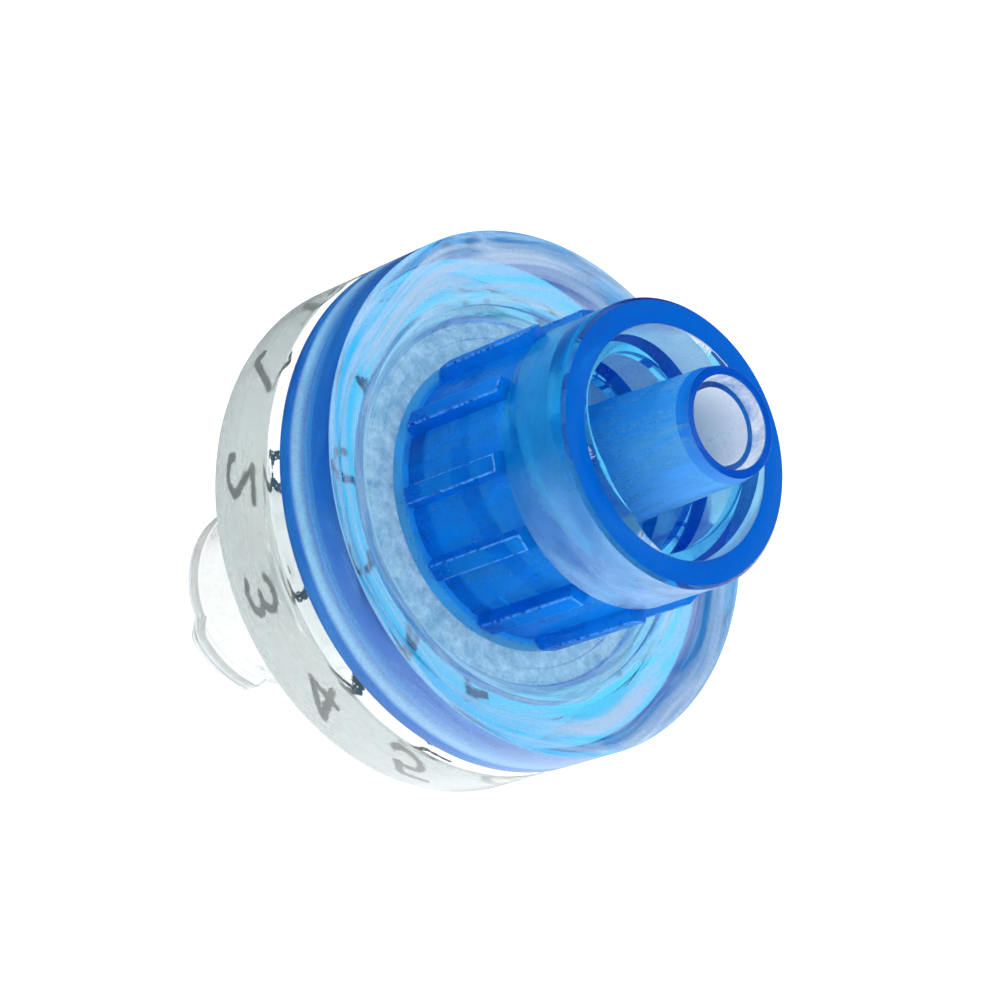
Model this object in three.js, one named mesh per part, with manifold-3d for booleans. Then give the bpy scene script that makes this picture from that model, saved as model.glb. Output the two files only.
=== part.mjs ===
// Disc syringe filter: two moulded housings welded round a clamped membrane.
// Millimetres, +Z up. The part stands on its inlet end at z = 0 and the
// outlet tip points up.
import * as THREE from 'three';
import { mergeVertices } from 'three/addons/utils/BufferGeometryUtils.js';
import Module from 'manifold-3d';

const wasm = await Module();
wasm.setup();

// ---------------------------------------------------------------- dimensions
const SEG = 64;                 // facets round the axis

// outlet housing, upper face upwards
const TIP_TOP = 25.56;          // end of the male tip
const TIP_R = 2.0;              // tip radius just below its chamfer
const TIP_TAPER = 0.03;         // radius gained for each mm down
const TIP_CHAMFER_Z = 25.10;
const TIP_FACE_R = 1.92;
const BORE_STEP_Z = 25.0;       // small ledge inside the tip
const BORE_MOUTH_R = 1.62;
const BORE_LEDGE_R = 1.53;
const BORE_R = 1.33;            // outlet bore under the ledge
const BORE_FOOT_R = 1.15;
const COLLAR_TOP = 23.0;        // mouth of the locking collar
const COLLAR_R = 5.036;
const COLLAR_LOW_R = 4.985;     // outside radius under the fine step
const COLLAR_STEP_Z = 19.95;
const COLLAR_IN_R = 4.08;       // inside of the collar, at the root of its fine thread
const COLLAR_FLOOR_Z = 15.10;   // bottom of the gap between tip and collar
const RIB_COUNT = 12;
const RIB_R = 5.47;
const RIB_TOP_Z = 19.90;
const RIB_FOOT_Z = 14.85;
const RIB_W_BASE = 0.80;
const RIB_W_TOP = 0.64;
const RIB_PHASE = -45.5;        // azimuth of the first rib
const WELL_Z = 14.55;           // flat frosted floor round the collar
const WELL_R0 = 5.40;
const WELL_R1 = 6.50;
const DISH_EDGE_R = 7.22;       // sharp edge where the dish starts
const DISH_EDGE_Z = 15.27;
const RIM_R = 9.38;
const RIM_LAND_R = 9.22;
const RIM_TOP_Z = 16.25;
const BLUE_UNDER_Z = 13.51;     // underside, where the two housings are welded
const DRAIN_Z = 13.73;          // roof of the shallow space over the membrane
const DRAIN_R = 6.90;

// inlet housing
const CLEAR_FACE_Z = 12.80;     // rim face under the open groove
const WELD_R = 8.25;            // outside of the raised weld ring
const SEAT_R = 7.45;            // pocket the membrane lies in
const SEAT_Z = 13.27;
const FEED_R = 6.90;
const FEED_Z = 12.75;           // floor of the shallow space under the membrane
const BACK_Z = 9.86;            // flat back of the disc
const HUB_FILLET_R = 5.20;
const HUB_R = 3.50;
const HUB_END_R = 3.40;
const HUB_SHOULDER_Z = 8.75;
const LUG_R = 3.93;
const LUG_T = 0.80;
const LUG_PHASE = -58;          // azimuth of the middle of the first lug
const SOCKET_MOUTH_R = 2.15;    // female 6 percent socket
const SOCKET_DEPTH = 8.5;
const PORT_R = 0.80;

// membrane
const DISC_R = 7.35;
const DISC_Z0 = SEAT_Z;
const DISC_Z1 = BLUE_UNDER_Z;

// ------------------------------------------------------------------- helpers
const rad = (d) => d * Math.PI / 180;

function solid(geometry) {
  let g = geometry.clone();
  g.deleteAttribute('normal');
  g.deleteAttribute('uv');
  g = mergeVertices(g, 1e-5);
  const p = g.attributes.position.array;
  const t = Uint32Array.from(g.index.array);
  let v = 0;
  for (let i = 0; i < t.length; i += 3) {
    const [a, b, c] = [t[i] * 3, t[i + 1] * 3, t[i + 2] * 3];
    v += p[a] * (p[b + 1] * p[c + 2] - p[b + 2] * p[c + 1])
       - p[a + 1] * (p[b] * p[c + 2] - p[b + 2] * p[c])
       + p[a + 2] * (p[b] * p[c + 1] - p[b + 1] * p[c]);
  }
  if (v < 0) for (let i = 0; i < t.length; i += 3) [t[i + 1], t[i + 2]] = [t[i + 2], t[i + 1]];
  const mesh = new wasm.Mesh({ numProp: 3, vertProperties: Float32Array.from(p), triVerts: t });
  return new wasm.Manifold(mesh);
}

// a closed (r, z) profile turned round +Z
function turned(points, segments = SEG) {
  const pts = points.map(([r, z]) => new THREE.Vector2(r, z));
  if (points[0][0] > 1e-9) pts.push(pts[0].clone());
  const g = new THREE.LatheGeometry(pts, segments);
  g.rotateX(Math.PI / 2);
  return solid(g);
}

// quarter-turn fillet between two points, the centre given
function arc(cx, cz, r, a0, a1, n) {
  const out = [];
  for (let i = 0; i <= n; i++) {
    const a = rad(a0 + (a1 - a0) * i / n);
    out.push([cx + r * Math.cos(a), cz + r * Math.sin(a)]);
  }
  return out;
}

function meshOf(manifold, name, material) {
  const m = manifold.getMesh();
  let g = new THREE.BufferGeometry();
  g.setAttribute('position', new THREE.BufferAttribute(Float32Array.from(m.vertProperties), 3));
  g.setIndex(new THREE.BufferAttribute(Uint32Array.from(m.triVerts), 1));
  g.computeVertexNormals();
  const mesh = new THREE.Mesh(g, material);
  mesh.name = name;
  return mesh;
}

// ------------------------------------------------------------ outlet housing
// the collar is plain inside here: its fine thread is not part of this solid
const tipFootR = TIP_R + TIP_TAPER * (TIP_CHAMFER_Z - COLLAR_FLOOR_Z);
let outlet = turned([
  [BORE_MOUTH_R, TIP_TOP],
  [TIP_FACE_R, TIP_TOP],
  [TIP_R, TIP_CHAMFER_Z],
  [tipFootR, COLLAR_FLOOR_Z + 0.15],
  [tipFootR + 0.15, COLLAR_FLOOR_Z],
  [COLLAR_IN_R - 0.15, COLLAR_FLOOR_Z],
  [COLLAR_IN_R, COLLAR_FLOOR_Z + 0.15],
  [COLLAR_IN_R, COLLAR_TOP - 0.06],
  [COLLAR_IN_R + 0.06, COLLAR_TOP],
  [4.88, COLLAR_TOP],
  [COLLAR_R, COLLAR_TOP - 0.15],
  [COLLAR_R, COLLAR_STEP_Z],
  [COLLAR_LOW_R, COLLAR_STEP_Z - 0.03],
  ...arc(COLLAR_LOW_R + 0.42, WELL_Z + 0.42, 0.42, 180, 270, 4),
  [WELL_R1, WELL_Z],
  [DISH_EDGE_R - 0.06, DISH_EDGE_Z],
  [DISH_EDGE_R, DISH_EDGE_Z],
  [7.90, DISH_EDGE_Z + 0.20],
  [8.60, DISH_EDGE_Z + 0.52],
  [RIM_LAND_R, RIM_TOP_Z],
  [RIM_R, RIM_TOP_Z],
  [RIM_R, BLUE_UNDER_Z],
  [DRAIN_R, BLUE_UNDER_Z],
  [DRAIN_R, DRAIN_Z],
  [BORE_FOOT_R + 0.3, DRAIN_Z],
  [BORE_FOOT_R, DRAIN_Z + 0.3],
  [BORE_R, BORE_STEP_Z],
  [BORE_LEDGE_R, BORE_STEP_Z],
]);

// grip ribs: flat tops, rounded feet, sides drawn in towards the outside
const ribShape = new THREE.Shape();
ribShape.moveTo(4.6, RIB_TOP_Z);
ribShape.lineTo(RIB_R, RIB_TOP_Z);
ribShape.lineTo(RIB_R - 0.02, RIB_FOOT_Z + 0.42);
for (const [x, z] of arc(RIB_R - 0.42, RIB_FOOT_Z + 0.40, 0.40, -18, -90, 4)) ribShape.lineTo(x, z);
ribShape.lineTo(4.6, RIB_FOOT_Z);
ribShape.closePath();
for (let i = 0; i < RIB_COUNT; i++) {
  const g = new THREE.ExtrudeGeometry(ribShape, { depth: 1, bevelEnabled: false });
  g.translate(0, 0, -0.5);
  g.rotateX(Math.PI / 2);                        // shape's own y becomes +Z
  const p = g.attributes.position;
  for (let k = 0; k < p.count; k++) {
    const t = Math.min(1, Math.max(0, (p.getX(k) - 4.985) / (RIB_R - 4.985)));
    p.setY(k, p.getY(k) * (RIB_W_BASE + (RIB_W_TOP - RIB_W_BASE) * t));
  }
  g.rotateZ(rad(RIB_PHASE + 360 / RIB_COUNT * i));
  outlet = outlet.add(solid(g));
}

// ------------------------------------------------------------- inlet housing
const socketEndR = SOCKET_MOUTH_R - TIP_TAPER * SOCKET_DEPTH;
let inlet = turned([
  [SOCKET_MOUTH_R + 0.12, 0],
  [HUB_END_R - 0.10, 0],
  [HUB_END_R, 0.10],
  [HUB_END_R + 0.03, 0.62],
  [HUB_R, HUB_SHOULDER_Z],
  [3.66, 9.12],
  [4.10, 9.42],
  [HUB_FILLET_R, BACK_Z],
  [RIM_R - 0.06, BACK_Z],
  [RIM_R, BACK_Z + 0.06],
  [RIM_R, CLEAR_FACE_Z - 0.22],
  [RIM_R - 0.07, CLEAR_FACE_Z - 0.07],
  [RIM_R - 0.22, CLEAR_FACE_Z],
  [WELD_R, CLEAR_FACE_Z],
  [WELD_R, BLUE_UNDER_Z],
  [SEAT_R, BLUE_UNDER_Z],
  [SEAT_R, SEAT_Z],
  [FEED_R, SEAT_Z],
  [FEED_R, FEED_Z],
  [PORT_R + 0.35, FEED_Z],
  [PORT_R, FEED_Z - 0.35],
  [PORT_R, SOCKET_DEPTH + 0.55],
  [socketEndR, SOCKET_DEPTH],
  [SOCKET_MOUTH_R, 0.12],
]);

// two locking lugs at the end of the hub, with ramped ends
for (const middle of [LUG_PHASE, LUG_PHASE + 180]) {
  const lug = new THREE.Shape();
  const outline = [[-29, 3.0], [-29, HUB_END_R - 0.02], [-27.5, 3.46], [-24, 3.78], [-21, LUG_R]];
  for (let a = -15; a <= 15; a += 6) outline.push([a, LUG_R]);
  outline.push([21, LUG_R], [25, 3.76], [29.5, 3.46], [32, HUB_END_R - 0.02], [32, 3.0]);
  for (let a = 20; a >= -20; a -= 10) outline.push([a, 3.0]);
  outline.forEach(([a, r], i) => {
    const x = r * Math.cos(rad(middle - a)), y = r * Math.sin(rad(middle - a));
    if (i === 0) lug.moveTo(x, y); else lug.lineTo(x, y);
  });
  lug.closePath();
  const g = new THREE.ExtrudeGeometry(lug, { depth: LUG_T, bevelEnabled: false });
  inlet = inlet.add(solid(g));
}

// ------------------------------------------------------------------ membrane
const membrane = turned([
  [0, DISC_Z0], [DISC_R, DISC_Z0], [DISC_R, DISC_Z1], [0, DISC_Z1],
]);

// --------------------------------------------------------------------- group
const group = new THREE.Group();
group.name = 'syringe_filter';
group.add(meshOf(outlet, 'outlet_housing',
  new THREE.MeshStandardMaterial({ color: 0x1f78dc, roughness: 0.18, metalness: 0.0, transparent: true, opacity: 0.8 })));
group.add(meshOf(inlet, 'inlet_housing',
  new THREE.MeshStandardMaterial({ color: 0xe6ecec, roughness: 0.12, metalness: 0.0, transparent: true, opacity: 0.45 })));
group.add(meshOf(membrane, 'filter_membrane',
  new THREE.MeshStandardMaterial({ color: 0xf4f4f0, roughness: 0.85, metalness: 0.0 })));

export default group;
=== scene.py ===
import math

import bmesh
import bpy
import numpy as np
from mathutils import Matrix, Vector


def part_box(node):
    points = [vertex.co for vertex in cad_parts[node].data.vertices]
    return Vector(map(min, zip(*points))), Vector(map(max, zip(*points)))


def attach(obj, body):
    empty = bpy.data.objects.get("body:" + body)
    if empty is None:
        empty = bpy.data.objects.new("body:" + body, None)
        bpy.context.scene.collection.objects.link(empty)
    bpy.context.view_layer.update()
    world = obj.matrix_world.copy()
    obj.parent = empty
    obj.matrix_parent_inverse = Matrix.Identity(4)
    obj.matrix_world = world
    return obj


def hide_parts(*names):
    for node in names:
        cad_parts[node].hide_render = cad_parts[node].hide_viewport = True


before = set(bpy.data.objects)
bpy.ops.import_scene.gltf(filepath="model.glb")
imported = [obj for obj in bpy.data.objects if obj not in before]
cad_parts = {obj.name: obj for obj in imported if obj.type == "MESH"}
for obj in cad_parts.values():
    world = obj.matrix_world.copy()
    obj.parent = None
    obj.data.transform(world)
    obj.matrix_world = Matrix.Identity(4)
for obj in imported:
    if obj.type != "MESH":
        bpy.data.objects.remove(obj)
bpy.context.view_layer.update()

MM = 0.001
lo_out, hi_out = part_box("outlet_housing")
lo_in, hi_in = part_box("inlet_housing")

# ------------------------------------------------------------------ key sizes
# heights and radii in millimetres, read off the frame where it has them
RIM = hi_out[0] / MM                      # outer radius of both rims
TIP_TOP = hi_out[2] / MM                  # end of the tip
UNDER = lo_out[2] / MM                    # weld face between the housings
COLLAR_TOP = TIP_TOP - 2.56
SEG = 360


# ------------------------------------------------------------------ mesh tools
def new_object(name, verts, faces, smooth=True):
    me = bpy.data.meshes.new(name)
    me.from_pydata([tuple(v) for v in verts], [], faces)
    me.validate()
    me.update()
    ob = bpy.data.objects.new(name, me)
    bpy.context.scene.collection.objects.link(ob)
    return ob


def rounded(corners, closed=True):
    """Polyline through (r, z, radius, steps) corners with each corner rounded."""
    n = len(corners)
    out = []
    for i, c in enumerate(corners):
        p = np.array(c[:2], float)
        rad = c[2] if len(c) > 2 else 0.0
        steps = c[3] if len(c) > 3 else 4
        if rad <= 0 or (not closed and i in (0, n - 1)):
            out.append(p)
            continue
        a = np.array(corners[i - 1][:2], float) - p
        b = np.array(corners[(i + 1) % n][:2], float) - p
        la, lb = np.linalg.norm(a), np.linalg.norm(b)
        a, b = a / la, b / lb
        half = math.acos(max(-1.0, min(1.0, float(a @ b)))) / 2
        cut = rad / math.tan(half)
        lim = 0.49 * min(la, lb)
        if cut > lim:
            cut = lim
            rad = cut * math.tan(half)
        centre = p + (a + b) / np.linalg.norm(a + b) * rad / math.sin(half)
        s, e = p + a * cut - centre, p + b * cut - centre
        t0, t1 = math.atan2(s[1], s[0]), math.atan2(e[1], e[0])
        d = (t1 - t0 + math.pi) % (2 * math.pi) - math.pi
        for k in range(steps + 1):
            t = t0 + d * k / steps
            out.append(centre + rad * np.array([math.cos(t), math.sin(t)]))
    return np.array(out)


def lathe(name, corners, seg=SEG):
    """A closed (r, z) outline in millimetres turned round Z."""
    pts = rounded(corners)
    area = 0.5 * np.sum(pts[:, 0] * np.roll(pts[:, 1], -1) - np.roll(pts[:, 0], -1) * pts[:, 1])
    if area < 0:
        pts = pts[::-1]
    n = len(pts)
    verts, faces, ring = [], [], []
    for r, z in pts:
        if r < 1e-6:
            ring.append([len(verts)])
            verts.append((0, 0, z * MM))
        else:
            ring.append(list(range(len(verts), len(verts) + seg)))
            for k in range(seg):
                t = 2 * math.pi * k / seg
                verts.append((r * math.cos(t) * MM, r * math.sin(t) * MM, z * MM))
    for i in range(n):
        a, b = ring[i], ring[(i + 1) % n]
        if len(a) == 1 and len(b) == 1:
            continue
        for k in range(seg):
            k2 = (k + 1) % seg
            if len(a) == 1:
                faces.append((a[0], b[k2], b[k]))
            elif len(b) == 1:
                faces.append((a[k], a[k2], b[0]))
            else:
                faces.append((a[k], a[k2], b[k2], b[k]))
    return new_object(name, verts, faces)


def loft(name, sections):
    """Sections of equal point count, in millimetres, capped at both ends."""
    n = len(sections[0])
    verts = [tuple(c * MM for c in p) for s in sections for p in s]
    faces = []
    for i in range(len(sections) - 1):
        for k in range(n):
            k2 = (k + 1) % n
            faces.append((i * n + k, i * n + k2, (i + 1) * n + k2, (i + 1) * n + k))
    faces.append(tuple(range(n))[::-1])
    faces.append(tuple((len(sections) - 1) * n + k for k in range(n)))
    ob = new_object(name, verts, faces)
    bm = bmesh.new()
    bm.from_mesh(ob.data)
    bmesh.ops.recalc_face_normals(bm, faces=bm.faces)
    bmesh.ops.triangulate(bm, faces=[f for f in bm.faces if len(f.verts) > 4])
    bm.to_mesh(ob.data)
    bm.free()
    return ob


def merge(name, objects):
    """One object holding several that do not touch one another."""
    bm = bmesh.new()
    for o in objects:
        bm.from_mesh(o.data)
        me = o.data
        bpy.data.objects.remove(o)
        bpy.data.meshes.remove(me)
    me = bpy.data.meshes.new(name)
    bm.to_mesh(me)
    bm.free()
    ob = bpy.data.objects.new(name, me)
    bpy.context.scene.collection.objects.link(ob)
    return ob


def apply(ob):
    dg = bpy.context.evaluated_depsgraph_get()
    me = bpy.data.meshes.new_from_object(ob.evaluated_get(dg))
    old = ob.data
    ob.modifiers.clear()
    ob.data = me
    bpy.data.meshes.remove(old)


def boolean(ob, other, how):
    m = ob.modifiers.new("b", "BOOLEAN")
    m.operation = how
    m.object = other
    m.solver = "MANIFOLD"
    apply(ob)
    me = other.data
    bpy.data.objects.remove(other)
    bpy.data.meshes.remove(me)


def finish_mesh(ob, angle=32):
    me = ob.data
    bm = bmesh.new()
    bm.from_mesh(me)
    bmesh.ops.remove_doubles(bm, verts=bm.verts, dist=2e-7)
    bmesh.ops.dissolve_degenerate(bm, edges=bm.edges, dist=1e-7)
    bmesh.ops.triangulate(bm, faces=[f for f in bm.faces if len(f.verts) > 4])
    bm.to_mesh(me)
    bm.free()
    me.shade_smooth()
    me.set_sharp_from_angle(angle=math.radians(angle))
    m = ob.modifiers.new("w", "WEIGHTED_NORMAL")
    m.mode = "FACE_AREA"
    m.weight = 60
    m.keep_sharp = True
    apply(ob)
    return ob


# -------------------------------------------------------------- outlet housing
TAPER = 0.03
WELL = 14.55
FLOOR = 15.10
tip_foot = 2.0 + TAPER * (25.10 - FLOOR)

outlet = lathe("outlet_moulding", [
    (1.62, TIP_TOP, 0.03, 2),
    (1.92, TIP_TOP, 0.03, 3),
    (2.00, 25.10, 0.06, 3),
    (tip_foot, FLOOR, 0.25, 5),
    (4.07, FLOOR, 0.25, 5),
    (4.07, COLLAR_TOP, 0.05, 3),
    (4.90, COLLAR_TOP, 0.03, 2),
    (5.036, COLLAR_TOP - 0.15, 0.05, 3),
    (5.036, 19.965, 0.012, 2),
    (4.985, 19.94, 0.012, 2),
    (4.985, WELL, 0.42, 8),
    (5.90, WELL, 0.03, 2),
    (5.94, WELL + 0.035, 0.02, 2),
    (6.36, WELL + 0.035, 0.03, 2),
    (6.42, WELL - 0.03, 0.02, 2),
    (6.50, WELL - 0.03, 0.02, 2),
    (6.58, WELL + 0.08, 0.02, 2),
    (6.74, 14.79, 0.02, 2),
    (6.79, 14.90, 0.02, 2),
    (6.98, 15.04, 0.02, 2),
    (7.02, 15.12, 0.02, 2),
    (7.20, 15.28, 0.03, 3),
    (7.45, 15.30, 0.5, 6),
    (9.20, 16.25, 0.06, 3),
    (RIM, 16.25, 0.035, 3),
    (RIM, 15.50), (RIM, 15.30), (RIM, 15.10), (RIM, 14.90), (RIM, 14.70), (RIM, 14.50),
    (RIM, 14.38), (RIM, 14.26), (RIM, 14.14), (RIM, 14.02),
    (RIM, UNDER, 0.05, 3),
    (6.90, UNDER, 0.03, 2),
    (6.90, 13.73, 0.05, 2),
    (1.33, 13.73, 0.3, 4),
    (1.33, 25.0, 0.0),
    (1.53, 25.0, 0.02, 2),
])


def rib(azimuth):
    def section(z, reach, half_b, half_t, corner):
        pts = [(4.70, -half_b), (4.985, -half_b)]
        a = math.atan2(half_b - half_t, 0.485)
        for t in np.linspace(-90 + math.degrees(a), 0, 5):
            pts.append((reach - corner + corner * math.cos(math.radians(t)),
                        -half_t + corner + corner * math.sin(math.radians(t))))
        pts += [(x, -y) for x, y in pts[::-1]]
        return [(x, y, z) for x, y in pts]

    out = []
    top = 19.90
    for dz, inset in ((0.0, 0.05), (0.015, 0.02), (0.05, 0.0)):
        out.append(section(top - dz, 5.47 - inset, 0.40 - inset * 0.6, 0.315 - inset * 0.6, 0.09))
    out.append(section(15.42, 5.465, 0.41, 0.325, 0.09))
    for t in range(10, 91, 10):
        a = math.radians(t)
        drop = 0.50 * math.sin(a)
        back = 0.44 * (1 - math.cos(a))
        out.append(section(15.38 - drop, 5.465 - back, 0.41 - 0.10 * (1 - math.cos(a)),
                           0.325 - 0.12 * (1 - math.cos(a)), 0.09))
    c, s = math.cos(math.radians(azimuth)), math.sin(math.radians(azimuth))
    turned = [[(x * c - y * s, x * s + y * c, z) for x, y, z in sec] for sec in out]
    return loft("rib", turned)


ribs = merge("ribs", [rib(-45.5 + 30 * i) for i in range(12)])
boolean(outlet, ribs, "UNION")

# two-start right-handed thread inside the collar
LEAD = 5.0
section = rounded([(4.35, 0.065), (3.50, -0.13, 0.07, 3), (3.50, -0.57, 0.07, 3), (4.35, -1.13)], closed=False)
section = rounded([(4.35, 0.065, 0, 1), (3.50, -0.13, 0.07, 3), (3.50, -0.57, 0.07, 3), (4.35, -1.13, 0, 1)])
threads = []
for phase in (82.0, 262.0):
    secs = []
    for turn in np.arange(-500.0, 74.1, 3.0):
        a = math.radians(phase + turn)
        secs.append([(r * math.cos(a), r * math.sin(a), COLLAR_TOP + LEAD * turn / 360 + z) for r, z in section])
    threads.append(loft("thread", secs))
threads = merge("threads", threads)
zone = lathe("zone", [(2.8, 15.9), (4.7, 15.9), (4.7, COLLAR_TOP - 0.07), (2.8, COLLAR_TOP - 0.07)], seg=240)
boolean(threads, zone, "INTERSECT")
boolean(outlet, threads, "UNION")

# shallow waves that spiral round the dish
for v in outlet.data.vertices:
    x, y, z = (c / MM for c in v.co)
    r = math.hypot(x, y)
    if 7.35 < r < 9.15 and z > 15.2:
        a = math.atan2(y, x)
        fade = min(1.0, (r - 7.35) / 0.3, (9.15 - r) / 0.3)
        v.co.z += fade * MM * (0.016 * math.sin(2 * a + 5.2 * r) + 0.010 * math.sin(3 * a - 3.9 * r + 1.0))

finish_mesh(outlet)

# --------------------------------------------------------------- inlet housing
CLEAR_TOP = 12.80
SEAT = 13.27
sock_end = 2.15 - TAPER * 8.5
inlet = lathe("inlet_moulding", [
    (2.15 + 0.12, 0.0, 0.02, 2),
    (3.40, 0.0, 0.10, 4),
    (3.43, 0.62, 0.0),
    (3.50, 8.80, 0.3, 5),
    (3.72, 9.30, 0.5, 5),
    (5.20, 9.86, 0.5, 5),
    (RIM, 9.86, 0.06, 3),
    (RIM, CLEAR_TOP, 0.24, 6),
    (8.24, CLEAR_TOP, 0.05, 3),
    (8.24, UNDER + 0.010),
    (7.45, UNDER + 0.010),
    (7.45, SEAT, 0.03, 2),
    (6.90, SEAT, 0.03, 2),
    (6.90, 12.75, 0.1, 3),
    (0.80, 12.75, 0.35, 4),
    (0.80, 8.5, 0.4, 4),
    (sock_end, 8.5, 0.2, 4),
    (2.15, 0.12, 0.02, 2),
])


def lug(middle):
    rows = []
    outline = [(-33.0, 3.30)]
    for a in np.arange(-33.0, 36.1, 1.5):
        if a < -20:
            t = (a + 33.0) / 13.0
        elif a > 20:
            t = (36.0 - a) / 16.0
        else:
            t = 1.0
        t = max(0.0, min(1.0, t))
        t = t * t * (3 - 2 * t)
        outline.append((a, 3.36 + (3.93 - 3.36) * t))
    outline.append((36.0, 3.30))
    inner = [(a, 2.9) for a in np.arange(30, -31, -6.0)]
    for z, inset in ((0.008, 0.05), (0.02, 0.02), (0.055, 0.0), (0.70, 0.0), (0.76, 0.02), (0.80, 0.06)):
        rows.append([((r - inset) * math.cos(math.radians(middle - a)),
                      (r - inset) * math.sin(math.radians(middle - a)), z) for a, r in outline]
                    + [(r * math.cos(math.radians(middle - a)), r * math.sin(math.radians(middle - a)), z)
                       for a, r in inner])
    return loft("lug", rows)


lugs = merge("lugs", [lug(-58.0), lug(122.0)])
boolean(inlet, lugs, "UNION")
# two faint witness lines down the rim
for v in inlet.data.vertices:
    x, y, z = (c / MM for c in v.co)
    if math.hypot(x, y) > RIM - 0.02 and 9.95 < z < CLEAR_TOP - 0.1:
        if round(math.degrees(math.atan2(y, x))) in (-132, -115):
            v.co.x *= 1 - 0.010 / RIM
            v.co.y *= 1 - 0.010 / RIM
finish_mesh(inlet)

# -------------------------------------------------------------------- membrane
membrane = lathe("membrane_disc", [
    (0.0, SEAT + 0.005), (7.33, SEAT + 0.005, 0.03, 2), (7.33, UNDER - 0.02, 0.03, 2), (0.0, UNDER - 0.02),
], seg=180)
finish_mesh(membrane)


# ------------------------------------------------------------- printed numbers
def arc_pts(cx, cy, rx, ry, a0, a1, steps=20):
    return [(cx + rx * math.cos(math.radians(a0 + (a1 - a0) * k / steps)),
             cy + ry * math.sin(math.radians(a0 + (a1 - a0) * k / steps))) for k in range(steps + 1)]


DIGITS = {
    "0": [arc_pts(0, 0, 0.52, 1.02, 0, 360, 32)],
    "1": [[(-0.34, 0.62), (0.06, 1.02), (0.06, -1.02)]],
    "2": [arc_pts(0, 0.46, 0.54, 0.56, 165, -35) + [(-0.56, -1.02), (0.60, -1.02)]],
    "3": [arc_pts(-0.03, 0.50, 0.50, 0.52, 150, -90), arc_pts(-0.03, -0.50, 0.56, 0.52, 90, -150)],
    "4": [[(0.30, -1.02), (0.30, 1.02), (-0.60, -0.42), (0.62, -0.42)]],
    "5": [[(0.50, 1.02), (-0.40, 1.02), (-0.47, 0.12)] + arc_pts(-0.03, -0.38, 0.58, 0.62, 130, -145)],
    "6": [arc_pts(0, -0.44, 0.54, 0.58, 0, 360, 28), arc_pts(0.62, -0.40, 1.16, 1.48, 178, 106, 14)],
    "7": [[(-0.56, 1.02), (0.58, 1.02), (-0.14, -1.02)]],
    "8": [arc_pts(0, 0.52, 0.46, 0.50, 0, 360, 28), arc_pts(0, -0.48, 0.56, 0.54, 0, 360, 28)],
    "9": [arc_pts(0, 0.44, 0.54, 0.58, 0, 360, 28), arc_pts(-0.62, 0.40, 1.16, 1.48, -2, -74, 14)],
}


def printed_ring(name):
    """Plain numbers 1 to 12 on the flat back, as grainy ink cells one layer thick."""
    rng = np.random.default_rng(7)
    cell, top, under, middle = 0.05, 9.874, 9.866, 6.95
    verts, faces = [], []
    for number in range(1, 13):
        azimuth = math.radians(-150 + 30 * (number - 1))
        text = str(number)
        squeeze = 1.0 if len(text) == 1 else 0.72
        segs = []
        for i, ch in enumerate(text):
            shift = (i - (len(text) - 1) / 2) * 1.12
            for line in DIGITS[ch]:
                for p, q in zip(line[:-1], line[1:]):
                    segs.append((p[0] * squeeze + shift, p[1], q[0] * squeeze + shift, q[1]))
        segs = np.array(segs)
        nx, ny = int(2.9 / cell), int(2.6 / cell)
        gx, gy = np.meshgrid((np.arange(nx) + 0.5 - nx / 2) * cell, (np.arange(ny) + 0.5 - ny / 2) * cell,
                             indexing="ij")
        d = np.full(gx.shape, 9.0)
        for x0, y0, x1, y1 in segs:
            dx, dy = x1 - x0, y1 - y0
            t = np.clip(((gx - x0) * dx + (gy - y0) * dy) / (dx * dx + dy * dy + 1e-9), 0, 1)
            d = np.minimum(d, np.hypot(gx - x0 - t * dx, gy - y0 - t * dy))
        on = d + rng.normal(0, 0.022, d.shape) < 0.15
        on &= rng.random(d.shape) > 0.05
        # no two cells may meet at a corner only
        for _ in range(4):
            a = on[:-1, :-1] & on[1:, 1:] & ~on[:-1, 1:] & ~on[1:, :-1]
            b = ~on[:-1, :-1] & ~on[1:, 1:] & on[:-1, 1:] & on[1:, :-1]
            on[:-1, 1:] |= a
            on[:-1, :-1] |= b
        index = {}

        def corner(i, j, layer):
            key = (i, j, layer)
            if key not in index:
                u = (i - nx / 2) * cell
                rad = middle + (j - ny / 2) * cell
                ang = azimuth + u / middle
                index[key] = len(verts)
                verts.append((rad * math.cos(ang) * MM, rad * math.sin(ang) * MM, (under, top)[layer] * MM))
            return index[key]

        for i in range(nx):
            for j in range(ny):
                if not on[i, j]:
                    continue
                faces.append((corner(i, j, 1), corner(i, j + 1, 1), corner(i + 1, j + 1, 1), corner(i + 1, j, 1)))
                faces.append((corner(i, j, 0), corner(i + 1, j, 0), corner(i + 1, j + 1, 0), corner(i, j + 1, 0)))
                for di, dj, c0, c1 in ((-1, 0, (i, j + 1), (i, j)), (1, 0, (i + 1, j), (i + 1, j + 1)),
                                       (0, -1, (i, j), (i + 1, j)), (0, 1, (i + 1, j + 1), (i, j + 1))):
                    a, b = i + di, j + dj
                    if not (0 <= a < nx and 0 <= b < ny and on[a, b]):
                        faces.append((corner(*c0, 0), corner(*c1, 0), corner(*c1, 1), corner(*c0, 1)))
    ob = new_object(name, verts, faces)
    bm = bmesh.new()
    bm.from_mesh(ob.data)
    bmesh.ops.recalc_face_normals(bm, faces=bm.faces)
    bm.to_mesh(ob.data)
    bm.free()
    return ob


marks = printed_ring("printed_numbers")

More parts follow.
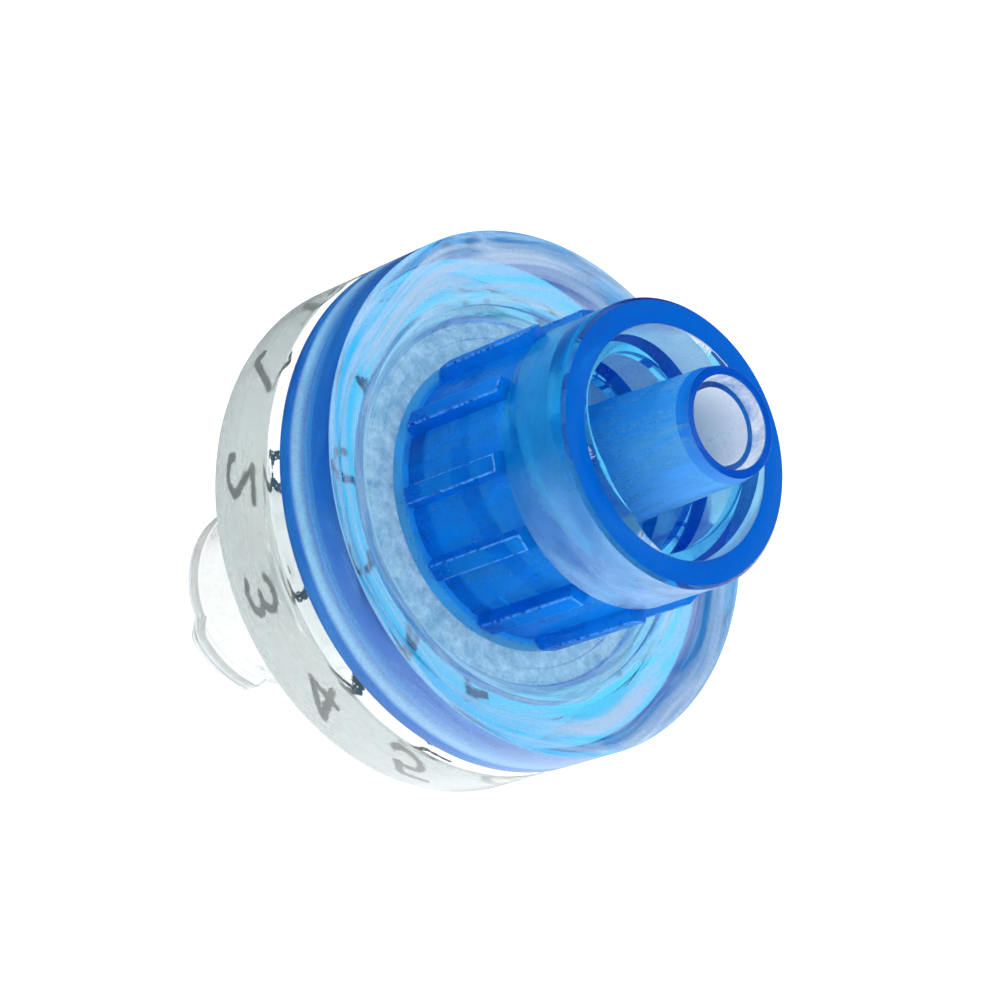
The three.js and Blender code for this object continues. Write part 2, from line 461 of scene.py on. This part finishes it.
# ------------------------------------------------------------------- materials
class Nodes:
    def __init__(self, name):
        self.mat = bpy.data.materials.new(name)
        self.mat.use_nodes = True
        self.nt = self.mat.node_tree
        self.nt.nodes.clear()
        self.out = self.nt.nodes.new("ShaderNodeOutputMaterial")

    def add(self, kind, **props):
        n = self.nt.nodes.new(kind)
        for k, v in props.items():
            setattr(n, k, v)
        return n

    def link(self, a, b):
        self.nt.links.new(a, b)

    def math(self, op, a, b=None, c=None, clamp=False):
        n = self.add("ShaderNodeMath", operation=op, use_clamp=clamp)
        for i, v in enumerate((a, b, c)):
            if v is None:
                continue
            if isinstance(v, (int, float)):
                n.inputs[i].default_value = v
            else:
                self.link(v, n.inputs[i])
        return n.outputs[0]

    def coords(self):
        """x, y, z and radius in millimetres."""
        tc = self.add("ShaderNodeTexCoord")
        sc = self.add("ShaderNodeVectorMath", operation="SCALE")
        sc.inputs["Scale"].default_value = 1000.0
        self.link(tc.outputs["Object"], sc.inputs[0])
        sep = self.add("ShaderNodeSeparateXYZ")
        self.link(sc.outputs[0], sep.inputs[0])
        x, y, z = sep.outputs
        r = self.math("SQRT", self.math("ADD", self.math("MULTIPLY", x, x), self.math("MULTIPLY", y, y)))
        return sc.outputs[0], x, y, z, r

    def band(self, v, lo, hi, soft):
        """1 between lo and hi, falling to 0 over soft outside them."""
        a = self.add("ShaderNodeMapRange", interpolation_type="SMOOTHSTEP")
        a.inputs["From Min"].default_value = lo - soft
        a.inputs["From Max"].default_value = lo
        self.link(v, a.inputs["Value"])
        b = self.add("ShaderNodeMapRange", interpolation_type="SMOOTHSTEP")
        b.inputs["From Min"].default_value = hi + soft
        b.inputs["From Max"].default_value = hi
        self.link(v, b.inputs["Value"])
        return self.math("MULTIPLY", a.outputs[0], b.outputs[0])

    def noise(self, vec, scale, detail=2.0, rough=0.5, distortion=0.0):
        n = self.add("ShaderNodeTexNoise")
        n.inputs["Scale"].default_value = scale
        n.inputs["Detail"].default_value = detail
        n.inputs["Roughness"].default_value = rough
        n.inputs["Distortion"].default_value = distortion
        self.link(vec, n.inputs["Vector"])
        return n.outputs["Fac"]

    def scaled(self, vec, sx, sy, sz):
        m = self.add("ShaderNodeVectorMath", operation="MULTIPLY")
        m.inputs[1].default_value = (sx, sy, sz)
        self.link(vec, m.inputs[0])
        return m.outputs[0]

    def bump(self, height, distance, strength=1.0, normal=None):
        b = self.add("ShaderNodeBump")
        b.inputs["Strength"].default_value = strength
        b.inputs["Distance"].default_value = distance
        self.link(height, b.inputs["Height"])
        if normal is not None:
            self.link(normal, b.inputs["Normal"])
        return b.outputs["Normal"]


# the patterns of the frosting: stretch along the radius, round the axis and in height,
# twist in radians per millimetre of radius, and contrast
PATTERN = {
    "flow": (2.0, 1.8, 0.8, 0.0, 3.0),
    "swirl": (1.5, 1.1, 0.0, 0.8, 6.5),
    "streak": (0.3, 3.4, 0.22, 0.0, 2.6),
    "blotch": (2.2, 12.0, 1.6, 0.0, 2.8),
    "fine": (3.5, 12.0, 3.5, 0.0, 1.6),
    "plain": (2.0, 1.8, 0.8, 0.0, 0.7),
    # the pattern of the painted glints on the ribs' corners
    "spark": (2.0, 30.0, 5.0, 0.0, 9.0),
}


def finish_by_zone(ob, zones, base_col):
    """Writes each zone's finish on the corners of its faces. A zone is r0, r1, z0, z1, roughness,
    haze, the haze's colour, its pattern, and how it varies with x, y, z and the face's lean,
    which is 1 where the face looks along the radius."""
    me = ob.data
    count = len(me.loops)
    at = np.empty(len(me.vertices) * 3)
    me.vertices.foreach_get("co", at)
    at = at.reshape(-1, 3) / MM
    vert = np.empty(count, int)
    me.loops.foreach_get("vertex_index", vert)
    start, total = np.empty(len(me.polygons), int), np.empty(len(me.polygons), int)
    me.polygons.foreach_get("loop_start", start)
    me.polygons.foreach_get("loop_total", total)
    face = np.repeat(np.arange(len(start)), total)
    p = at[vert]
    r = np.hypot(p[:, 0], p[:, 1])
    ang = np.arctan2(p[:, 1], p[:, 0])
    fr = (np.bincount(face, r) / total)[face]
    fz = (np.bincount(face, p[:, 2]) / total)[face]
    facing = np.empty(len(me.polygons) * 3)
    me.polygons.foreach_get("normal", facing)
    facing = facing.reshape(-1, 3)[face]
    lean = np.abs(facing[:, 0] * p[:, 0] + facing[:, 1] * p[:, 1]) / np.maximum(r, 1e-6)
    # the haze colour and amount, real frosting together with the painted light, glints and highlight of some zones
    frost_and_painted_light = np.tile(np.array([*base_col, 0.0]), (count, 1))
    skin = np.zeros((count, 4))
    kind = np.array([PATTERN["flow"]] * count)
    for r0, r1, z0, z1, rough, haze, col, key, vary in zones:
        on = (fr >= r0) & (fr <= r1) & (fz >= z0) & (fz <= z1)
        w = np.ones(count) if vary is None else vary(p[:, 0], p[:, 1], p[:, 2], lean)
        w = np.where(on, w, 0.0)
        new = frost_and_painted_light[:, 3] + w * haze
        part = np.divide(w * haze, new, out=np.zeros(count), where=new > 0)[:, None]
        frost_and_painted_light[:, :3] = frost_and_painted_light[:, :3] * (1 - part) + np.array(col) * part
        frost_and_painted_light[:, 3] = new
        skin[:, 0] += np.where(on, rough, 0.0)
        kind[w > 0] = PATTERN[key]
    skin[:, 1] = kind[:, 4]
    # slow bends, so that the pattern is nowhere quite straight
    bend = 0.25 * np.sin(1.3 * p[:, 0] + 0.7 * p[:, 2]) + 0.25 * np.sin(1.1 * p[:, 1] - 0.9 * p[:, 2] + 1.0)
    turn = ang + kind[:, 3] * r
    space = np.stack([r * kind[:, 0] + p[:, 2] * kind[:, 2] + bend, kind[:, 1] * np.cos(turn), kind[:, 1] * np.sin(turn)], 1)
    for name, sort, key, values in (("frost_and_painted_light", "FLOAT_COLOR", "color", frost_and_painted_light), ("skin", "FLOAT_COLOR", "color", skin),
                                    ("pattern", "FLOAT_VECTOR", "vector", space)):
        layer = me.attributes.new(name, sort, "CORNER")
        layer.data.foreach_set(key, np.ascontiguousarray(values, dtype=np.float32).ravel())


def plastic(name, absorb, density, ior, tint, base_haze, through):
    """Moulded plastic: tinted glass with a milky, patterned skin where a zone says so."""
    n = Nodes(name)
    vec, x, y, z, r = n.coords()
    frost_and_painted_light, skin, space = (n.add("ShaderNodeAttribute", attribute_name=k) for k in ("frost_and_painted_light", "skin", "pattern"))
    parts = n.add("ShaderNodeSeparateXYZ")
    n.link(skin.outputs["Vector"], parts.inputs[0])
    zone_rough, gain = parts.outputs[0], parts.outputs[1]
    main = n.noise(space.outputs["Vector"], 1.0, 3.0, 0.6)
    grain = n.noise(vec, 9.0, 1.0, 0.7)
    sand = n.math("MULTIPLY_ADD", grain, 0.5, 0.75)
    rough = n.math("MULTIPLY_ADD", main, 0.06, zone_rough)
    tex = n.math("MULTIPLY_ADD", n.math("SUBTRACT", main, 0.5), gain, 1.0)
    tex = n.math("MINIMUM", n.math("MAXIMUM", tex, 0.0), 2.4)
    haze = n.math("MULTIPLY_ADD", frost_and_painted_light.outputs["Alpha"], tex, n.math("MULTIPLY", main, base_haze * 2.0))
    haze = n.math("MULTIPLY", haze, sand)
    col = frost_and_painted_light.outputs["Color"]
    p = n.add("ShaderNodeBsdfPrincipled", distribution="GGX")
    p.inputs["Base Color"].default_value = (1, 1, 1, 1)
    p.inputs["Transmission Weight"].default_value = 1.0
    p.inputs["IOR"].default_value = ior
    p.inputs["Specular Tint"].default_value = (*tint, 1)
    n.link(rough, p.inputs["Roughness"])
    # moulding waviness, flow lines round the axis and hairline scratches
    ring = n.add("ShaderNodeCombineXYZ")
    n.link(n.math("MULTIPLY_ADD", r, 2.0, n.math("MULTIPLY", z, 0.8)), ring.inputs[0])
    n.link(n.math("MULTIPLY", x, 0.25), ring.inputs[1])
    n.link(n.math("MULTIPLY", y, 0.25), ring.inputs[2])
    height = n.math("MULTIPLY_ADD", n.noise(ring.outputs[0], 1.0, 0.0), 0.28, n.noise(vec, 0.55, 0.0))
    scratch = n.noise(n.scaled(vec, 0.7, 5.0, 1.0), 1.0, 0.0)
    n.link(n.bump(n.math("MULTIPLY_ADD", scratch, 0.08, height), 0.000018), p.inputs["Normal"])
    q = n.add("ShaderNodeBsdfDiffuse")
    n.link(col, q.inputs["Color"])
    t = n.add("ShaderNodeBsdfTranslucent")
    n.link(col, t.inputs["Color"])
    soft = n.add("ShaderNodeMixShader")
    soft.inputs[0].default_value = through
    n.link(q.outputs[0], soft.inputs[1])
    n.link(t.outputs[0], soft.inputs[2])
    mx = n.add("ShaderNodeMixShader")
    n.link(n.math("MINIMUM", haze, 0.9), mx.inputs[0])
    n.link(p.outputs[0], mx.inputs[1])
    n.link(soft.outputs[0], mx.inputs[2])
    n.link(mx.outputs[0], n.out.inputs["Surface"])
    v = n.add("ShaderNodeVolumeAbsorption")
    v.inputs["Color"].default_value = (*absorb, 1)
    v.inputs["Density"].default_value = density
    n.link(v.outputs[0], n.out.inputs["Volume"])
    return n.mat


def degrees_from(x, y, middle):
    return (np.degrees(np.arctan2(y, x)) - middle + 180.0) % 360.0 - 180.0


def two_sided(x, y, z, lean):
    """The dish's frosting is real; its unevenness round the axis is painted light and shade."""
    r = np.hypot(x, y)
    return (0.98 + 0.38 * (x * x - y * y) / (r * r) - 0.10 * x / r
            - 0.28 * np.exp(-(degrees_from(x, y, -125.0) / 20.0) ** 2)
            - 0.15 * np.exp(-(degrees_from(x, y, -30.0) / 18.0) ** 2)
            - 0.30 * np.exp(-(degrees_from(x, y, 22.0) / 14.0) ** 2))


def lit_side(x, y, z, lean):
    """Painted light: pale haze that grows from the -Y side towards +X, where the light falls, and less near the
    weld.
    """
    return (np.clip((degrees_from(x, y, -105.0)) / 80.0, 0.0, 1.0)
            * np.clip((z - 13.9) / 0.5, 0.25, 1.0))


def rounded_edge(x, y, z, lean):
    """Painted glints: only the rounded corners of the ribs."""
    return ((lean > 0.30) & (lean < 0.93)).astype(float)


def far_wall(x, y, z, lean):
    """The milkiness of the collar's inner wall is its frosting; its rise to the +Y side is painted light."""
    return 0.35 + 0.65 * np.exp(-(degrees_from(x, y, 122.0) / 30.0) ** 2)


def pale_band(x, y, z, lean):
    up = np.clip((z - 14.02) / 0.24, 0.0, 1.0)
    down = np.clip((15.50 - z) / 1.05, 0.0, 1.0)
    return up * up * (3 - 2 * up) * down * down


MILK = (0.95, 0.98, 1.0)
finish_by_zone(outlet, [
    # r from, r to, z from, z to, roughness, haze, colour, pattern, variation
    (5.35, 6.56, 14.3, 14.72, 0.20, 0.42, (0.70, 0.93, 1.0), "blotch", None),
    (4.97, 5.35, 14.5, 15.05, 0.12, 0.45, (0.04, 0.38, 0.82), "flow", None),
    (6.56, 7.22, 14.5, 15.28, 0.08, 0.56, (0.72, 1.0, 1.0), "flow", None),
    # frosting of the dish, with painted light and shade round the axis
    (7.22, 9.32, 15.2, 16.35, 0.06, 0.40, (0.62, 0.72, 0.80), "swirl", two_sided),
    (9.355, 9.60, 13.4, 16.21, 0.08, 0.34, (0.03, 0.22, 0.58), "flow", None),
    # painted light: pale haze on the rim's side towards +X
    (9.355, 9.60, 13.4, 16.21, 0.0, 0.20, (0.75, 0.86, 0.96), "flow", lit_side),
    (9.355, 9.60, 14.0, 15.52, 0.0, 0.34, (0.52, 0.76, 0.88), "plain", pale_band),
    (4.90, 5.60, 14.72, 19.92, 0.20, 0.50, (0.0, 0.225, 0.82), "streak", None),
    # painted glints on the rounded corners of the ribs
    (5.36, 5.50, 15.0, 19.92, 0.0, 0.13, (0.40, 0.78, 1.0), "spark", rounded_edge),
    # painted highlight: a pale line along the rounded top edge of the rim
    (9.33, 9.60, 16.215, 16.26, 0.0, 0.35, (0.55, 0.82, 0.97), "plain", None),
    (4.90, 5.60, 19.92, 22.87, 0.14, 0.30, (0.0, 0.27, 0.64), "flow", None),
    # painted light: pale haze on the collar's side towards +X
    (4.90, 5.60, 19.92, 22.87, 0.0, 0.25, (0.75, 0.86, 0.96), "flow", lit_side),
    (1.95, 2.60, 15.2, 25.48, 0.14, 0.46, (0.0, 0.26, 0.84), "streak", None),
    (1.88, 2.03, 25.05, 25.56, 0.0, 0.45, (0.0, 0.07, 0.48), "plain", None),
    # painted light: pale haze on the tip's side towards +X
    (1.95, 2.60, 15.2, 25.48, 0.0, 0.16, (0.45, 0.85, 1.0), "streak", lit_side),
    (4.10, 5.00, 22.98, 23.10, 0.10, 0.80, (0.0, 0.118, 0.56), "plain", None),
    (1.64, 1.90, 25.50, 25.70, 0.10, 0.92, (0.0, 0.070, 0.48), "plain", None),
    (0.00, 1.40, 13.8, 24.98, 0.15, 0.92, (1.0, 1.0, 1.0), "plain", None),
    (1.50, 1.64, 25.02, 25.52, 0.10, 0.60, MILK, "flow", None),
    # frosted inner wall of the collar, with painted light on the far side
    (3.95, 4.15, 15.4, 22.97, 0.06, 0.85, (0.95, 0.98, 1.0), "plain", far_wall),
], (0.3, 0.6, 0.95))
finish_by_zone(inlet, [
    (0.0, 2.32, 0.1, 12.0, 0.12, 0.10, (0.86, 0.88, 0.86), "fine", None),
    (0.9, 6.97, 12.70, 12.80, 0.30, 0.86, (0.98, 0.98, 0.95), "fine", None),
    (3.30, 4.00, 0.02, 9.20, 0.06, 0.20, (0.60, 0.65, 0.64), "plain", None),
    (9.30, 9.45, 9.93, 13.42, 0.06, 0.16, (0.74, 0.80, 0.78), "plain", None),
], (0.66, 0.71, 0.71))

blue = plastic("blue_plastic", (0.2133, 0.8133, 0.9640), 1500.0, 1.49, (0.10, 0.50, 1.0), 0.03, 0.2)
clear = plastic("clear_plastic", (0.45, 0.60, 0.57), 28.0, 1.50, (1.0, 1.0, 1.0), 0.045, 0.5)

n = Nodes("membrane")
vec, x, y, z, r = n.coords()
p = n.add("ShaderNodeBsdfPrincipled")
g = n.noise(vec, 12.0, 4.0, 0.6)
ramp = n.add("ShaderNodeMix", data_type="RGBA")
n.link(g, ramp.inputs[0])
ramp.inputs[6].default_value = (0.86, 0.87, 0.86, 1)
ramp.inputs[7].default_value = (0.93, 0.93, 0.92, 1)
n.link(ramp.outputs[2], p.inputs["Base Color"])
p.inputs["Roughness"].default_value = 0.8
n.link(n.bump(g, 0.00003, 0.4), p.inputs["Normal"])
tr = n.add("ShaderNodeBsdfTranslucent")
n.link(ramp.outputs[2], tr.inputs["Color"])
mx = n.add("ShaderNodeMixShader")
mx.inputs[0].default_value = 0.5
n.link(p.outputs[0], mx.inputs[1])
n.link(tr.outputs[0], mx.inputs[2])
n.link(mx.outputs[0], n.out.inputs["Surface"])
white = n.mat

n = Nodes("print_ink")
vec, x, y, z, r = n.coords()
p = n.add("ShaderNodeBsdfPrincipled")
g = n.noise(vec, 14.0, 3.0, 0.6)
ramp = n.add("ShaderNodeMix", data_type="RGBA")
n.link(g, ramp.inputs[0])
ramp.inputs[6].default_value = (0.020, 0.024, 0.024, 1)
ramp.inputs[7].default_value = (0.075, 0.085, 0.082, 1)
n.link(ramp.outputs[2], p.inputs["Base Color"])
p.inputs["Roughness"].default_value = 0.6
n.link(n.bump(g, 0.00001, 0.3), p.inputs["Normal"])
n.link(p.outputs[0], n.out.inputs["Surface"])
marks.data.materials.append(n.mat)
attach(marks, "root")

for ob, mat, node, slot in (
    (outlet, blue, "outlet_housing", "blue_plastic"),
    (inlet, clear, "inlet_housing", "clear_plastic"),
    (membrane, white, "filter_membrane", "membrane"),
):
    ob.data.materials.clear()
    ob.data.materials.append(mat)
    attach(ob, "root")
    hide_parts(node)

# ------------------------------------------------------------- floor and light
S = 3.0
floor = new_object("studio_floor", [(-S, -S, 0), (S, -S, 0), (S, S, 0), (-S, S, 0)], [(0, 1, 2, 3)])
n = Nodes("studio_floor")
em = n.add("ShaderNodeEmission")
em.inputs["Color"].default_value = (1.0, 1.0, 1.0, 1)
vec, x, y, z, r = n.coords()
ramp = n.add("ShaderNodeMapRange", interpolation_type="SMOOTHSTEP")
for k, v in (("From Min", 0.0), ("From Max", 60.0), ("To Min", 1.42), ("To Max", 1.9)):
    ramp.inputs[k].default_value = v
n.link(x, ramp.inputs["Value"])
# a light table, with a painted contact shadow: a soft darkening where the part stands
painted_contact_shadow = n.add("ShaderNodeMapRange", interpolation_type="SMOOTHSTEP")
for k, v in (("From Min", 2.0), ("From Max", 13.0), ("To Min", 0.86), ("To Max", 1.0)):
    painted_contact_shadow.inputs[k].default_value = v
n.link(r, painted_contact_shadow.inputs["Value"])
n.link(n.math("MULTIPLY", ramp.outputs[0], painted_contact_shadow.outputs[0]), em.inputs["Strength"])
# seen from underneath the light table is clear, so that the part's back shows
geo = n.add("ShaderNodeNewGeometry")
away = n.add("ShaderNodeBsdfTransparent")
two = n.add("ShaderNodeMixShader")
n.link(geo.outputs["Backfacing"], two.inputs[0])
n.link(em.outputs[0], two.inputs[1])
n.link(away.outputs[0], two.inputs[2])
n.link(two.outputs[0], n.out.inputs["Surface"])
n.mat.cycles.emission_sampling = "NONE"
floor.data.materials.append(n.mat)
floor.visible_glossy = False

world = bpy.data.worlds.new("studio")
bpy.context.scene.world = world
world.use_nodes = True
world.cycles.sampling_method = "NONE"
nt = world.node_tree
nt.nodes.clear()
out = nt.nodes.new("ShaderNodeOutputWorld")
bg = nt.nodes.new("ShaderNodeBackground")
bg.inputs["Color"].default_value = (0.97, 0.985, 1.0, 1)
wtc = nt.nodes.new("ShaderNodeTexCoord")
wsep = nt.nodes.new("ShaderNodeSeparateXYZ")
nt.links.new(wtc.outputs["Generated"], wsep.inputs[0])


def world_ramp(value, lo, hi, to_lo, to_hi):
    m = nt.nodes.new("ShaderNodeMapRange")
    m.interpolation_type = "SMOOTHSTEP"
    for k, v in (("From Min", lo), ("From Max", hi), ("To Min", to_lo), ("To Max", to_hi)):
        m.inputs[k].default_value = v
    nt.links.new(value, m.inputs["Value"])
    return m.outputs[0]


# the dome is a little fuller on the +X side; what gloss sees below the horizon is dark
# towards -X and bright towards +X
sky = nt.nodes.new("ShaderNodeMath")
sky.operation = "MULTIPLY"
nt.links.new(world_ramp(wsep.outputs[0], -0.9, 0.9, 1.15, 1.55), sky.inputs[0])
nt.links.new(world_ramp(wsep.outputs[2], 0.0, 0.6, 0.84, 1.08), sky.inputs[1])
sky = sky.outputs[0]
below = world_ramp(wsep.outputs[0], -0.35, 0.65, 0.08, 1.90)
side = world_ramp(wsep.outputs[2], -0.06, 0.06, 0.0, 1.0)
wmix = nt.nodes.new("ShaderNodeMix")
nt.links.new(side, wmix.inputs[0])
nt.links.new(below, wmix.inputs[2])
nt.links.new(sky, wmix.inputs[3])
nt.links.new(wmix.outputs[0], bg.inputs["Strength"])
nt.links.new(bg.outputs[0], out.inputs["Surface"])

# ---------------------------------------------------------------------- camera
cam_data = bpy.data.cameras.new("camera")
cam_data.lens = 136.8
cam_data.sensor_width = 36.0
cam_data.clip_start = 0.005
cam = bpy.data.objects.new("camera", cam_data)
bpy.context.scene.collection.objects.link(cam)
right = np.array([0.34744, 0.67858, 0.64716])
up = np.array([-0.93770, 0.25143, 0.23979])
back = np.cross(right, up)
m = Matrix.Identity(4)
for i in range(3):
    m[i][0], m[i][1], m[i][2] = right[i], up[i], back[i]
m[0][3], m[1][3], m[2][3] = -0.219 * MM, -91.676 * MM, 110.157 * MM
cam.matrix_world = m
sc = bpy.context.scene
sc.camera = cam

sc.view_settings.view_transform = "Standard"
sc.view_settings.look = "None"
sc.cycles.max_bounces = 12
sc.cycles.transmission_bounces = 12
sc.cycles.glossy_bounces = 6
sc.cycles.diffuse_bounces = 3
sc.cycles.transparent_max_bounces = 12
sc.cycles.volume_bounces = 0
sc.cycles.caustics_reflective = True
sc.cycles.caustics_refractive = True
sc.cycles.blur_glossy = 0.0
sc.cycles.use_light_tree = False
